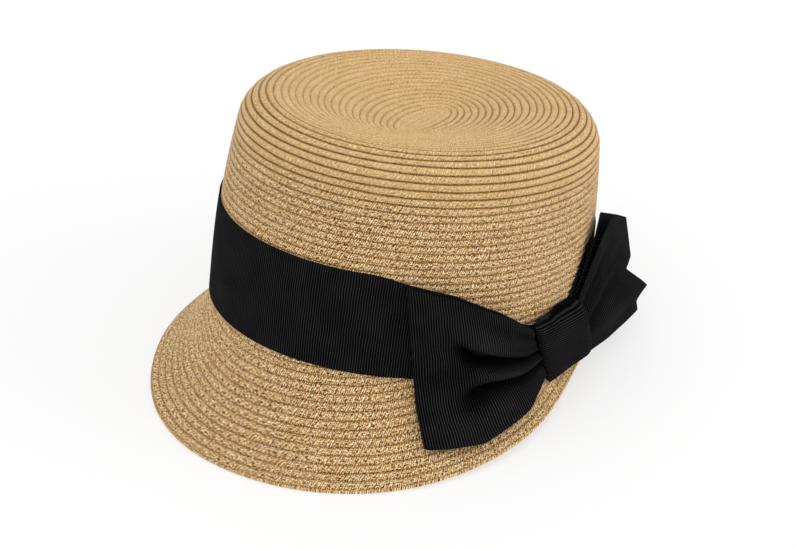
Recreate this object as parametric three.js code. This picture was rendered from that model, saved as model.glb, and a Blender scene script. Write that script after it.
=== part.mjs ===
// A woman's braided straw hat with a flat-topped crown, a long sloping front brim and a short back brim,
// a ribbon band and a wide ribbon bow on the wearer's left. Millimetres, +Z up, front towards -Y,
// wearer's left towards +X. The hat lies on its rim, as it does on a table.
import * as THREE from "three";

// Crown, measured outside
const HEAD_LENGTH = 202;
const HEAD_WIDTH = 172.3;
const TOP_LENGTH = 192;
const TOP_WIDTH = 159.4;
const CROWN_HEIGHT = 100;
const SIDE_BULGE = 2.7;
const TOP_EDGE_RADIUS = 13.5;
const TOP_DISH = 11;
const BRAID_START = 34;
const STRAW_WALL = 2;

// How the crown leans on its brim, in degrees, and how high its base is carried
const LEAN_BACK = 10.56;
const LEAN_SIDE = 3.1;
const BASE_HEIGHT = 24;

// Brim: its reach at the front, the lift of its rim at the sides, how much steeper than straight it
// starts and how much flatter it ends, in degrees, and the lip that it rests on
const FRONT_REACH = 34;
const RIM_LIFT = 6;
const STEEP_START = 22;
const FLAT_END = 25;
const LIP_DROP = 2.2;
const LIP_WIDTH = 2;

// Brim's curve: its steepest start in degrees, the share of its chord that each of its handles takes,
// how many degrees of the rim lie flat beside the front and the back, and the steps that read it off
const STEEPEST = 86;
const HANDLE_SHARE = 0.36;
const FLAT_RIM = 15;
const BRIM_TRACE = 16;

// Ribbon, and how many degrees of the crown the bow's front loop covers
const BAND_WIDTH = 48;
const BAND_FOOT = 0.5;
const RIBBON_WALL = 1;
const CLEARANCE = 0.3;
const BOW_WIDTH = 76;
const LOOP_FULLNESS = 8;
const FRONT_SWEEP = 39;
const PLEAT_DEPTH = 4;
const FLARE_DEPTH = 5;

// How squarely a loop keeps its fullness up to its fold
const FOLD_POWER = 40;

// Knot: where its middle is, in degrees from the front and above the crown's base, its size, how far
// its lower end is set back, how much higher its back side is than its front side, and how much
// further than its middle that side stands out
const KNOT_ANGLE = 83;
const KNOT_HEIGHT = 8.5;
const KNOT_TALL = 34;
const KNOT_WIDE = 34;
const KNOT_DEEP = 9;
const KNOT_SLANT = 20;
const KNOT_RISE = 5;
const KNOT_SWELL = 3;

// Knot's rounding: powers of the sine and cosine round it, where 1 is an ellipse, and the size of its ends
const KNOT_ACROSS_POWER = 0.5;
const KNOT_DEPTH_POWER = 0.6;
const KNOT_END = 0.86;

// How finely the round shapes are cut
const AROUND = 72;
const EDGE_STEPS = 4;
const SIDE_STEPS = 7;
const BRIM_STEPS = 7;
const BAND_STEPS = 4;
const PLY_STEPS = 10;
const ACROSS_STEPS = 12;
const KNOT_SIDES = 20;
const TOP_STATIONS = [0.04, 0.25, 0.45, 0.65, 0.83, 1];
const KNOT_LEVELS = [-1, -0.92, -0.6, -0.2, 0.2, 0.6, 0.92, 1];

// Reach of the brim past the crown, every 30 degrees from the front towards the wearer's left,
// as a share of the front reach
const REACH_SHARES = [1.01, 0.867, 0.576, 0.19, 0.2, 0.41, 0.5, 0.5, 0.459, 0.43, 0.777, 1.03];

// Upper edge of the band: degrees from the front, and height as a share of the band's width. The band
// is gathered under the knot and drops towards it.
const BAND_TOP = [
  { angle: 0, height: 1 },
  { angle: 22, height: 1 },
  { angle: 37, height: 0.88 },
  { angle: 47, height: 0.76 },
  { angle: 60, height: 0.57 },
  { angle: 70, height: 0.42 },
  { angle: 80, height: 0.38 },
  { angle: 87, height: 0.48 },
  { angle: 93, height: 0.8 },
  { angle: 99, height: 1 },
  { angle: 360, height: 1 },
];

// Sections of the bow's front loop from the knot (at 0) to its fold (at 1), each from the ribbon's
// upper edge to its lower one. Turn is a share of the loop's sweep, height above the crown's base is a
// share of the bow's width, and full is a share of the loop's fullness.
const FRONT_LOOP = [
  { at: 0, turn: 0, topHeight: 0.28, lowHeight: -0.07, full: 0.55 },
  { at: 0.35, turn: 0.27, topHeight: 0.41, lowHeight: -0.185, full: 1 },
  { at: 0.7, turn: 0.64, topHeight: 0.54, lowHeight: -0.31, full: 0.8 },
  { at: 1, turn: 1, topHeight: 0.605, lowHeight: -0.35, full: 0.6 },
];

// Upper and lower edge of the back loop, which stands straight off the crown: how far back from the
// knot, how far out from the taper of the crown's side and how high, all as shares of the bow's width
const BACK_LOOP_TOP = [
  { at: 0, back: 0, out: 0.081, height: 0.29, full: 0.35 },
  { at: 0.35, back: 0.17, out: 0.134, height: 0.68, full: 0.45 },
  { at: 0.7, back: 0.37, out: 0.122, height: 0.81, full: 0.8 },
  { at: 1, back: 0.8, out: 0.082, height: 0.645, full: 0.7 },
];
const BACK_LOOP_LOW = [
  { at: 0, back: 0, out: 0.115, height: -0.08 },
  { at: 0.35, back: 0.255, out: 0.146, height: -0.06 },
  { at: 0.7, back: 0.495, out: 0.174, height: -0.015 },
  { at: 1, back: 0.685, out: 0.197, height: 0.03 },
];

// Gathers beside the knot, and the waves that the back loop flares in: middle and spread as shares
// across the ribbon. A gather fades along the loop by its power; a wave has its share of the flare.
const GATHERS = [
  { middle: 0.38, spread: 0.09, fade: 1 },
  { middle: 0.7, spread: 0.08, fade: 2 },
];
const WAVES = [
  { middle: 0.74, spread: 0.12, share: 1 },
  { middle: 0.55, spread: 0.1, share: -0.5 },
];

const radians = THREE.MathUtils.degToRad;
const mix = THREE.MathUtils.lerp;
const clamp = THREE.MathUtils.clamp;

const hat = new THREE.Group();

// What sits on the crown is drawn upright in this group, which leans as the crown does
const crownGroup = new THREE.Group();
crownGroup.position.z = BASE_HEIGHT;
crownGroup.rotation.set(radians(-LEAN_BACK), radians(LEAN_SIDE), 0);
crownGroup.updateMatrix();
hat.add(crownGroup);
const outOfCrown = crownGroup.matrix.clone();
const intoCrown = outOfCrown.clone().invert();

// Value of a closed, evenly spaced list at a place counted in steps, on a Catmull-Rom curve
function aroundValue(list, place) {
  const first = Math.floor(place);
  const part = place - first;
  const pick = (step) => list[THREE.MathUtils.euclideanModulo(first + step, list.length)];
  const [before, low, high, after] = [-1, 0, 1, 2].map(pick);
  const rise = (high - before) * part;
  const bend = (2 * before - 5 * low + 4 * high - after) * part ** 2;
  const twist = (3 * low - before - 3 * high + after) * part ** 3;
  return (2 * low + rise + bend + twist) / 2;
}

// A table's row for a place between its rows, mixed from the two beside it
function rowAt(rows, key, place) {
  const found = rows.findIndex((row) => row[key] >= place);
  const next = found < 0 ? rows.length - 1 : Math.max(found, 1);
  const [low, high] = [rows[next - 1], rows[next]];
  const part = clamp((place - low[key]) / (high[key] - low[key]), 0, 1);
  return Object.fromEntries(Object.keys(low).map((name) => [name, mix(low[name], high[name], part)]));
}

// Half length and half width of the crown's outside at a height above its base
function crownHalves(height) {
  const share = height / CROWN_HEIGHT;
  const bulge = SIDE_BULGE * Math.sin(Math.PI * clamp(share, 0, 1));
  const rise = clamp((height - (CROWN_HEIGHT - TOP_EDGE_RADIUS)) / TOP_EDGE_RADIUS, 0, 1);
  const inset = TOP_EDGE_RADIUS * (1 - Math.sqrt(1 - rise ** 2));
  return {
    length: mix(HEAD_LENGTH, TOP_LENGTH, share) / 2 + bulge - inset,
    width: mix(HEAD_WIDTH, TOP_WIDTH, share) / 2 + bulge - inset,
  };
}

// Level outward direction of the crown's oval
function ovalNormal(angle, height) {
  const { length, width } = crownHalves(height);
  return new THREE.Vector3(Math.sin(angle) / width, -Math.cos(angle) / length, 0).normalize();
}

// Point beside the crown's wall, in the crown's group: angle from the front, height, and standoff
function wallPoint(angle, height, standoff) {
  const { length, width } = crownHalves(height);
  const wall = new THREE.Vector3(width * Math.sin(angle), -length * Math.cos(angle), height);
  return wall.addScaledVector(ovalNormal(angle, height), standoff);
}

// Outside of the crown's wall, in the hat's frame, at a height above the crown's base
function sidePoint(angle, height) {
  return wallPoint(angle, height, 0).applyMatrix4(outOfCrown);
}

// Dished top, in the hat's frame, from the middle (at 0) to where the edge turns down (at 1)
function topPoint(angle, share) {
  const { length, width } = crownHalves(CROWN_HEIGHT);
  return new THREE.Vector3(
    width * share * Math.sin(angle),
    -mix(BRAID_START / 2, length, share) * Math.cos(angle),
    CROWN_HEIGHT - (TOP_DISH * (1 + Math.cos(Math.PI * share))) / 2,
  ).applyMatrix4(outOfCrown);
}

// Height of the rim over the table: it touches at the front and the back and lifts at the sides
function rimHeight(angle) {
  const turn = Math.abs(THREE.MathUtils.euclideanModulo(angle + Math.PI, 2 * Math.PI) - Math.PI);
  const flat = radians(FLAT_RIM);
  const share = clamp((turn - flat) / (Math.PI - 2 * flat), 0, 1);
  return RIM_LIFT * Math.sin(Math.PI * share) ** 2;
}

// Outer face of the brim, in the hat's frame, from the crown's base (at 0) to the rim (at 1)
function brimPoint(angle, share) {
  const base = sidePoint(angle, 0);
  const outward = ovalNormal(angle, 0);
  const reach = FRONT_REACH * aroundValue(REACH_SHARES, THREE.MathUtils.radToDeg(angle) / 30);
  const rim = base.clone().addScaledVector(outward, reach).setZ(rimHeight(angle));
  const slope = Math.atan2(base.z - rim.z, reach);
  const pull = HANDLE_SHARE * Math.hypot(base.z - rim.z, reach);
  const direction = (tilt) => outward.clone().multiplyScalar(Math.cos(tilt)).setZ(-Math.sin(tilt));
  const steep = Math.min(slope + radians(STEEP_START), radians(STEEPEST));
  const first = base.clone().addScaledVector(direction(steep), pull);
  const second = rim.clone().addScaledVector(direction(slope - radians(FLAT_END)), -pull);
  return new THREE.CubicBezierCurve3(base, first, second, rim).getPoint(share);
}

// How far the brim stands off the crown's wall carried on downwards, at a height below the base
function brimStandoff(angle, height) {
  if (height >= 0) return 0;
  const path = Array.from({ length: BRIM_TRACE + 1 }, (_, step) => {
    const point = brimPoint(angle, step / BRIM_TRACE).applyMatrix4(intoCrown);
    const standoff = point.clone().sub(wallPoint(angle, point.z, 0)).dot(ovalNormal(angle, point.z));
    return { depth: -point.z, standoff };
  });
  return rowAt(path, "depth", -height).standoff;
}

// Standoff that clears the band and the brim
function clearStandoff(angle, height) {
  return Math.max(CLEARANCE + RIBBON_WALL, brimStandoff(angle, height)) + CLEARANCE;
}

// Unit normal of a surface of two parameters
function surfaceNormal(surface, first, second) {
  const step = 1e-3;
  const alongFirst = surface(first + step, second).sub(surface(first - step, second));
  const alongSecond = surface(first, second + step).sub(surface(first, second - step));
  return alongFirst.cross(alongSecond).normalize();
}

// Indexed geometry with its faces turned outwards, where its signed volume says that they point in
function closedGeometry(points, faces) {
  const geometry = new THREE.BufferGeometry().setFromPoints(points);
  let volume = 0;
  for (let at = 0; at < faces.length; at += 3) {
    const [a, b, c] = faces.slice(at, at + 3).map((corner) => points[corner]);
    volume += a.dot(b.clone().cross(c));
  }
  geometry.setIndex(volume < 0 ? faces.toReversed() : faces);
  geometry.computeVertexNormals();
  return geometry;
}

// Skin over closed rings of points. The last ring joins the first where it is endless; otherwise a fan
// shuts each end.
function ringSkin(rings, endless) {
  const count = rings[0].length;
  const points = rings.flat();
  const faces = [];
  for (let ring = 0; ring < rings.length - (endless ? 0 : 1); ring += 1) {
    const low = ring * count;
    const high = ((ring + 1) % rings.length) * count;
    for (let step = 0; step < count; step += 1) {
      const next = (step + 1) % count;
      faces.push(low + step, high + step, low + next, low + next, high + step, high + next);
    }
  }
  if (endless) return closedGeometry(points, faces);
  for (const ring of [0, rings.length - 1]) {
    const middle = points.length;
    const sum = rings[ring].reduce((total, point) => total.add(point), new THREE.Vector3());
    points.push(sum.divideScalar(count));
    for (let step = 0; step < count; step += 1) {
      const edge = [ring * count + step, ring * count + ((step + 1) % count)];
      faces.push(middle, ...(ring === 0 ? edge : edge.toReversed()));
    }
  }
  return closedGeometry(points, faces);
}

// A sheet with two faces, given as grids of points, closed along its four edges
function sheetSkin(outer, inner) {
  const rings = outer.map((row, at) => [...row, ...inner[at].toReversed()]);
  const count = rings[0].length;
  const points = rings.flat();
  const faces = [];
  for (let ring = 0; ring < rings.length - 1; ring += 1) {
    for (let step = 0; step < count; step += 1) {
      const [here, next] = [ring * count + step, ring * count + ((step + 1) % count)];
      faces.push(here, here + count, next, next, here + count, next + count);
    }
  }
  for (const ring of [0, rings.length - 1]) {
    for (let step = 0; step < count / 2 - 1; step += 1) {
      const [a, b] = [ring * count + step, ring * count + step + 1];
      const [c, d] = [(ring + 1) * count - 2 - step, (ring + 1) * count - 1 - step];
      faces.push(...(ring === 0 ? [a, b, c, a, c, d] : [c, b, a, d, c, a]));
    }
  }
  return closedGeometry(points, faces);
}

const turnAngles = Array.from({ length: AROUND }, (_, step) => (2 * Math.PI * step) / AROUND);
const stepsTo = (count) => Array.from({ length: count }, (_, step) => (step + 1) / count);

// Crown and brim, one braid sewn in a spiral and so one open shell
function strawBody() {
  const shoulder = CROWN_HEIGHT - TOP_EDGE_RADIUS;
  const edgeHeight = (share) => shoulder + TOP_EDGE_RADIUS * Math.cos((Math.PI / 2) * share);
  const stations = [
    ...TOP_STATIONS.map((share) => ({ surface: topPoint, place: share, side: 1 })),
    ...stepsTo(EDGE_STEPS).map((share) => ({ surface: sidePoint, place: edgeHeight(share), side: -1 })),
    ...stepsTo(SIDE_STEPS).map((share) => ({ surface: sidePoint, place: shoulder * (1 - share), side: -1 })),
    ...stepsTo(BRIM_STEPS).map((share) => ({ surface: brimPoint, place: share, side: 1 })),
  ];
  const outer = stations.map(({ surface, place }) => turnAngles.map((angle) => surface(angle, place)));
  const inner = stations.map(({ surface, place, side }) =>
    turnAngles.map((angle) =>
      surface(angle, place).addScaledVector(surfaceNormal(surface, angle, place), side * STRAW_WALL),
    ),
  );
  const down = new THREE.Vector3(0, 0, -LIP_DROP);
  const lip = turnAngles.map((angle) => brimPoint(angle, 1).add(down));
  inner[inner.length - 1] = lip.map((point, step) =>
    point.clone().addScaledVector(ovalNormal(turnAngles[step], 0), -LIP_WIDTH),
  );
  return ringSkin([...outer, lip, ...inner.toReversed()], false);
}

// Ribbon band round the crown's foot
function hatBand() {
  const rings = turnAngles.map((angle) => {
    const top = BAND_WIDTH * rowAt(BAND_TOP, "angle", THREE.MathUtils.radToDeg(angle)).height;
    const heights = [0, ...stepsTo(BAND_STEPS)].map((share) => mix(BAND_FOOT, top, share));
    const face = (standoff) => heights.map((height) => wallPoint(angle, height, standoff));
    return [...face(CLEARANCE), ...face(CLEARANCE + RIBBON_WALL).toReversed()];
  });
  return ringSkin(rings, true);
}

// A bow loop: a strip that runs out from the knot as the outer ply, folds and runs back as the inner
// ply. middle gives the point between the plies, the outward direction and the distance between them
// for a place along the loop and a share across it; side turns the wall to the inside of the loop.
function bowLoop(middle, side) {
  const face = (way, across) => {
    const at = Math.sin((Math.PI / 2) * way);
    const apart = Math.sqrt(Math.max(1 - at ** FOLD_POWER, 0)) * Math.sign(1 - way);
    const { point, outward, full, pleat } = middle(at, across);
    return point.addScaledVector(outward, (full / 2) * apart + (way < 1 ? pleat : 0));
  };
  const ways = [0, ...stepsTo(2 * PLY_STEPS)].map((share) => 2 * share);
  const across = [0, ...stepsTo(ACROSS_STEPS)];
  const outer = ways.map((way) => across.map((share) => face(way, share)));
  const inner = ways.map((way) =>
    across.map((share) =>
      face(way, share).addScaledVector(surfaceNormal(face, way, share), side * RIBBON_WALL),
    ),
  );
  return sheetSkin(outer, inner);
}

// Rounded swelling, 1 at its middle, on a share across the ribbon
const swelling = (across, { middle, spread }) => Math.exp(-(((across - middle) / spread) ** 2));

// Gathers beside the knot: valleys that run out along the loop
function pleatDepth(at, across) {
  const depth = (total, gather) => total + swelling(across, gather) * (1 - at) ** gather.fade;
  return -PLEAT_DEPTH * GATHERS.reduce(depth, 0);
}

// Distance along the crown from the knot's middle to just clear of its front (-1) or back (1) side
function knotSide(height, side) {
  const level = (height - KNOT_HEIGHT - (side * KNOT_RISE) / 2) / (KNOT_TALL / 2);
  return side * (KNOT_WIDE / 2 + CLEARANCE) - (level * KNOT_SLANT) / 2;
}

// Front loop, which lies along the band and the brim
function frontLoop(at, across) {
  const row = rowAt(FRONT_LOOP, "at", at);
  const middle = radians(KNOT_ANGLE);
  const startHeight = BOW_WIDTH * mix(FRONT_LOOP[0].topHeight, FRONT_LOOP[0].lowHeight, across);
  const { length, width } = crownHalves(startHeight);
  const start = knotSide(startHeight, -1) / Math.hypot(length * Math.sin(middle), width * Math.cos(middle));
  const angle = middle + start - radians(FRONT_SWEEP) * row.turn;
  const height = BOW_WIDTH * mix(row.topHeight, row.lowHeight, across);
  const full = LOOP_FULLNESS * row.full;
  return {
    point: wallPoint(angle, height, clearStandoff(angle, height) + CLEARANCE + full / 2),
    outward: ovalNormal(angle, height),
    pleat: row.full * pleatDepth(at, across),
    full,
  };
}

// Back loop, which stands straight back from the knot and flares out below
function backLoop(at, across) {
  const top = rowAt(BACK_LOOP_TOP, "at", at);
  const low = rowAt(BACK_LOOP_LOW, "at", at);
  const full = LOOP_FULLNESS * top.full;
  const waves = WAVES.reduce((total, wave) => total + wave.share * swelling(across, wave), 0);
  const flare = FLARE_DEPTH * at ** 2 * waves;
  const height = BOW_WIDTH * mix(top.height, low.height, across);
  const side = mix(HEAD_WIDTH, TOP_WIDTH, height / CROWN_HEIGHT) / 2;
  const startHeight = BOW_WIDTH * mix(BACK_LOOP_TOP[0].height, BACK_LOOP_LOW[0].height, across);
  const start = knotSide(startHeight, 1) - crownHalves(startHeight).length * Math.cos(radians(KNOT_ANGLE));
  return {
    point: new THREE.Vector3(
      side + BOW_WIDTH * mix(top.out, low.out, across) - full / 2 + flare,
      start + BOW_WIDTH * mix(top.back, low.back, across) + flare,
      height,
    ),
    outward: new THREE.Vector3(1, 0, 0),
    pleat: top.full * pleatDepth(at, across),
    full,
  };
}

// Knot: ribbon wrapped round the middle of the bow, a rounded block flat against the band
function bowKnot() {
  const middle = radians(KNOT_ANGLE);
  const along = ovalNormal(middle, 0).cross(new THREE.Vector3(0, 0, -1));
  const rounded = (value, power) => Math.sign(value) * Math.abs(value) ** power;
  const rings = KNOT_LEVELS.map((level) => {
    const shrink = Math.abs(level) === 1 ? KNOT_END : 1;
    return Array.from({ length: KNOT_SIDES }, (_, step) => {
      const turn = (2 * Math.PI * step) / KNOT_SIDES;
      const side = shrink * rounded(Math.cos(turn), KNOT_ACROSS_POWER);
      const height = KNOT_HEIGHT + (level * KNOT_TALL + side * KNOT_RISE) / 2;
      const back = clearStandoff(middle, height);
      const across = (KNOT_WIDE * side - level * KNOT_SLANT) / 2;
      const bulge = 1 + shrink * rounded(Math.sin(turn), KNOT_DEPTH_POWER);
      const depth = ((KNOT_DEEP + KNOT_SWELL * side) * bulge) / 2;
      return wallPoint(middle, height, back + depth).addScaledVector(along, across);
    });
  });
  return ringSkin(rings, false);
}

const straw = new THREE.MeshStandardMaterial({ color: "#b9976c", roughness: 0.85, metalness: 0 });
const ribbon = new THREE.MeshStandardMaterial({ color: "#1d1d1f", roughness: 0.7, metalness: 0 });

function addPiece(group, name, geometry, material) {
  const mesh = new THREE.Mesh(geometry, material);
  mesh.name = name;
  group.add(mesh);
}

addPiece(hat, "straw_body", strawBody(), straw);
addPiece(crownGroup, "hat_band", hatBand(), ribbon);
addPiece(crownGroup, "bow_loop_front", bowLoop(frontLoop, -1), ribbon);
addPiece(crownGroup, "bow_loop_back", bowLoop(backLoop, 1), ribbon);
addPiece(crownGroup, "bow_knot", bowKnot(), ribbon);

// The origin is the middle of the footprint, on the table
const extent = new THREE.Box3().setFromObject(hat, true);
const centre = extent.getCenter(new THREE.Vector3());
hat.position.set(-centre.x, -centre.y, -extent.min.z);

export default hat;
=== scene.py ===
# %% [markdown]
# # A braided straw hat with a ribbon bow
# This hat is one straw braid, sewn to itself in a spiral from the middle of the crown's top to the
# edge of the brim. A black ribbon goes round the crown and carries a wide bow on the wearer's left.
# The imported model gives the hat's place and size, and everything here is worked out in millimetres
# from the crown's own measures, so that each piece sits where the model says.

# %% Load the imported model
import math
import bmesh
import bpy
import numpy as np
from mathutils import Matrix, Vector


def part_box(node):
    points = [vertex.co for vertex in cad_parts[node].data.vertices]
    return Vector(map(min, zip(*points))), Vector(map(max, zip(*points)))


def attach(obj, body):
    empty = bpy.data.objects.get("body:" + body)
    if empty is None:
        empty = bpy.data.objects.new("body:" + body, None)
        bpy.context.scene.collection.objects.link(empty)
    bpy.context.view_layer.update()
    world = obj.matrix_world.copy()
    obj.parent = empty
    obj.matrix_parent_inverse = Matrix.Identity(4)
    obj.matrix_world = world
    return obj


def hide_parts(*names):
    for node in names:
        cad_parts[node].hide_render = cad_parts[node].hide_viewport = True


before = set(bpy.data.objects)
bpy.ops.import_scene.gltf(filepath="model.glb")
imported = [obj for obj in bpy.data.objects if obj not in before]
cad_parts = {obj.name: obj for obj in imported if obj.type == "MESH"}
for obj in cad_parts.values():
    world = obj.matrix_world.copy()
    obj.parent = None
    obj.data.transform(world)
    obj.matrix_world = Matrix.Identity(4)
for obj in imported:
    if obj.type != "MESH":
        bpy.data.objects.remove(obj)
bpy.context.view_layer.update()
MM = 0.001
straw_low, straw_high = (np.array(corner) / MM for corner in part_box("straw_body"))
print("straw body from", straw_low.round(2), "to", straw_high.round(2), "mm")

# %% [markdown]
# The crown is drawn upright and then leaned on its brim, 10.56 degrees back and 3.1 degrees to the
# side, because the front of this brim is longer than its back. A rotation matrix does that for a
# whole array of points at once.

# %% Crown measures and how it leans
HEAD_LENGTH = 202
HEAD_WIDTH = 172.3
TOP_LENGTH = 192
TOP_WIDTH = 159.4
CROWN_HEIGHT = 100
SIDE_BULGE = 2.7
TOP_EDGE = 13.5
TOP_DISH = 11
BRAID_START = 34
BASE_HEIGHT = 24
LEAN_BACK = math.radians(-10.56)
LEAN_SIDE = math.radians(3.1)
OFF_MIDDLE = (3.67, 8.67, 2.2)

middle = (straw_low + straw_high) / 2
HAT_ORIGIN = np.array([middle[0], middle[1], straw_low[2]]) + OFF_MIDDLE
back_turn = np.array([
    [1, 0, 0],
    [0, math.cos(LEAN_BACK), -math.sin(LEAN_BACK)],
    [0, math.sin(LEAN_BACK), math.cos(LEAN_BACK)],
])
side_turn = np.array([
    [math.cos(LEAN_SIDE), 0, math.sin(LEAN_SIDE)],
    [0, 1, 0],
    [-math.sin(LEAN_SIDE), 0, math.cos(LEAN_SIDE)],
])
LEAN = back_turn @ side_turn


def leaned(points):
    """Crown's upright points in the hat's frame: turned by LEAN, then raised by the base height."""
    return points @ LEAN.T + np.array([0, 0, BASE_HEIGHT])


def upright(points):
    """The way back: lowered by the base height, then turned by the inverse of LEAN."""
    return (points - np.array([0, 0, BASE_HEIGHT])) @ LEAN


print("hat's frame starts at", HAT_ORIGIN.round(3), "mm")

# %% [markdown]
# The camera comes before any piece, so that every look is judged from the place where the
# photographer stood: in front of the hat, 27 degrees towards the wearer's left and 30 degrees up,
# with a lens long enough to keep the hat's proportions calm.

# %% Camera
PHOTO_WIDTH = 797
FOCAL_PIXELS = 2000
VIEW_AZIMUTH = math.radians(27.153)
VIEW_ELEVATION = math.radians(30)
CAMERA_PLACE = (381.79, -743.57, 517.21)

camera_data = bpy.data.cameras.new("camera")
camera_data.sensor_fit = "HORIZONTAL"
camera_data.sensor_width = 36
camera_data.lens = FOCAL_PIXELS * camera_data.sensor_width / PHOTO_WIDTH
camera_data.clip_start = 0.01
camera = bpy.data.objects.new("camera", camera_data)
camera.location = (HAT_ORIGIN + CAMERA_PLACE) * MM
camera.rotation_euler = (math.pi / 2 - VIEW_ELEVATION, 0, VIEW_AZIMUTH)
bpy.context.scene.collection.objects.link(camera)
bpy.context.scene.camera = camera
print("lens", round(camera_data.lens, 2), "mm")

# %% [markdown]
# Product photographs of hats are lit by big soft boxes over a white sweep: the shadows nearly
# vanish. A pale floor that glows a little, as a light table does, and an even white sky give most
# of the light. A wide soft box above the front and a smaller one low on the right shape the form.

# %% Floor and light
def linear(hex_colour):
    """Linear colour from an sRGB hex value: each channel goes through the sRGB curve."""
    value = np.array([int(hex_colour[at:at + 2], 16) for at in (1, 3, 5)]) / 255
    curve = np.where(value <= 0.04045, value / 12.92, ((value + 0.055) / 1.055) ** 2.4)
    return (*curve.tolist(), 1)


def add(tree, kind, inputs=(), **settings):
    """Add a shader node, set its properties, and feed its inputs with sockets or values."""
    made = tree.nodes.new("ShaderNode" + kind)
    for name, value in settings.items():
        setattr(made, name, value)
    for key, value in inputs.items() if isinstance(inputs, dict) else enumerate(inputs):
        if isinstance(value, bpy.types.NodeSocket):
            tree.links.new(value, made.inputs[key])
        else:
            made.inputs[key].default_value = value
    return made.outputs[0] if made.outputs else made


def new_material(name):
    """Empty material and its node tree."""
    material = bpy.data.materials.new(name)
    material.use_nodes = True
    material.node_tree.nodes.clear()
    return material, material.node_tree


FLOOR_SIDE = 6
floor_mesh = bpy.data.meshes.new("studio_floor")
half = FLOOR_SIDE / 2
floor_corners = [(-half, -half, 0), (half, -half, 0), (half, half, 0), (-half, half, 0)]
floor_mesh.from_pydata(floor_corners, [], [(0, 1, 2, 3)])
floor = bpy.data.objects.new("studio_floor", floor_mesh)
bpy.context.scene.collection.objects.link(floor)
paper, tree = new_material("white_paper_sweep")
shader = add(tree, "BsdfPrincipled", {
    "Base Color": linear("#a0a0a0"),
    "Roughness": 0.9,
    "Emission Color": linear("#ffffff"),
    "Emission Strength": 0.6,
})
add(tree, "OutputMaterial", {"Surface": shader})
floor_mesh.materials.append(paper)

world = bpy.data.worlds.new("studio")
world.use_nodes = True
world.node_tree.nodes.clear()
sky = add(world.node_tree, "Background", {"Color": linear("#ffffff"), "Strength": 0.83})
add(world.node_tree, "OutputWorld", {"Surface": sky})
bpy.context.scene.world = world

LIGHT_AIM = (0, 0, 0.05)
SOFT_BOXES = [
    {"name": "soft_box_top", "place": (-0.1, -0.55, 1.55), "side": 1.8, "power": 8.6},
    {"name": "soft_box_right", "place": (1.5, 0.45, 0.8), "side": 1, "power": 8},
]
for box in SOFT_BOXES:
    data = bpy.data.lights.new(box["name"], "AREA")
    data.shape = "RECTANGLE"
    data.size = data.size_y = box["side"]
    data.energy = box["power"]
    light = bpy.data.objects.new(box["name"], data)
    light.location = box["place"]
    toward = np.array(LIGHT_AIM) - np.array(box["place"])
    light.rotation_euler = (
        math.acos(-toward[2] / np.linalg.norm(toward)),
        0,
        math.atan2(toward[1], toward[0]) - math.pi / 2,
    )
    bpy.context.scene.collection.objects.link(light)
print("floor", FLOOR_SIDE, "m wide,", len(SOFT_BOXES), "soft boxes")

# %% [markdown]
# The crown is a long oval that gets a little narrower towards the top. Its side swells slightly,
# its top edge is a quarter circle and its top is dished. One function gives the oval at a height,
# and everything that lies on the crown uses it.

# %% Crown surface
def crown_halves(height):
    """Half length and half width at a height: a straight taper, plus a sine bulge, minus the
    inset of the rounded top edge, which is radius times one minus the cosine of its arc."""
    share = height / CROWN_HEIGHT
    bulge = SIDE_BULGE * np.sin(np.pi * np.clip(share, 0, 1))
    rise = np.clip((height - (CROWN_HEIGHT - TOP_EDGE)) / TOP_EDGE, 0, 1)
    inset = TOP_EDGE * (1 - np.sqrt(1 - rise**2))
    length = (HEAD_LENGTH + (TOP_LENGTH - HEAD_LENGTH) * share) / 2 + bulge - inset
    width = (HEAD_WIDTH + (TOP_WIDTH - HEAD_WIDTH) * share) / 2 + bulge - inset
    return length, width


def oval_normal(angle, height):
    """Level outward direction: sine over half width and minus cosine over half length."""
    length, width = crown_halves(height)
    outward = np.stack([np.sin(angle) / width, -np.cos(angle) / length, 0 * angle * height], -1)
    return outward / np.linalg.norm(outward, axis=-1, keepdims=True)


def wall_point(angle, height, standoff):
    """Upright point beside the wall: the oval at that height, moved outwards by the standoff."""
    length, width = crown_halves(height)
    oval = np.stack([width * np.sin(angle), -length * np.cos(angle), height + 0 * angle], -1)
    return oval + oval_normal(angle, height) * np.asarray(standoff)[..., None]


def top_point(angle, share):
    """Upright point of the dished top: ovals that shrink to a short line, on a cosine dish."""
    length, width = crown_halves(np.float64(CROWN_HEIGHT))
    reach = BRAID_START / 2 + (length - BRAID_START / 2) * share
    height = CROWN_HEIGHT - TOP_DISH * (1 + np.cos(np.pi * share)) / 2
    return np.stack([width * share * np.sin(angle), -reach * np.cos(angle), height + 0 * angle], -1)


crown_length, crown_width = crown_halves(CROWN_HEIGHT * np.array([0, 0.5, 1]))
print("crown lengths", (2 * crown_length).round(1), "widths", (2 * crown_width).round(1), "mm")

# %% [markdown]
# The braid is about 5 mm wide, and each round covers part of the last one, so that 3.45 mm of
# each row shows. Rows are counted from the strong line on the crown's shoulder: downwards they
# are positive, and towards the middle of the top they are negative. The seams start at row -22.6,
# outside the braid's first, folded turn. A row's place on the crown is one number, and the
# surface is a function of the angle and that number.

# %% Rows of the crown
ROW_PITCH = 3.446
TOP_PITCH = 3.43
SHOULDER_LINE = 89.8
FIRST_ROW = -24.4
BRAID_FROM = -22.6
CROWN_END = 8
SMALLEST_OVAL = 0.001
LAST_ROW = (SHOULDER_LINE - CROWN_END) / ROW_PITCH
top_width = float(crown_halves(np.float64(CROWN_HEIGHT))[1])
edge_turn = math.acos((SHOULDER_LINE - CROWN_HEIGHT + TOP_EDGE) / TOP_EDGE)
SHOULDER_REACH = top_width + TOP_EDGE * edge_turn


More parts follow.
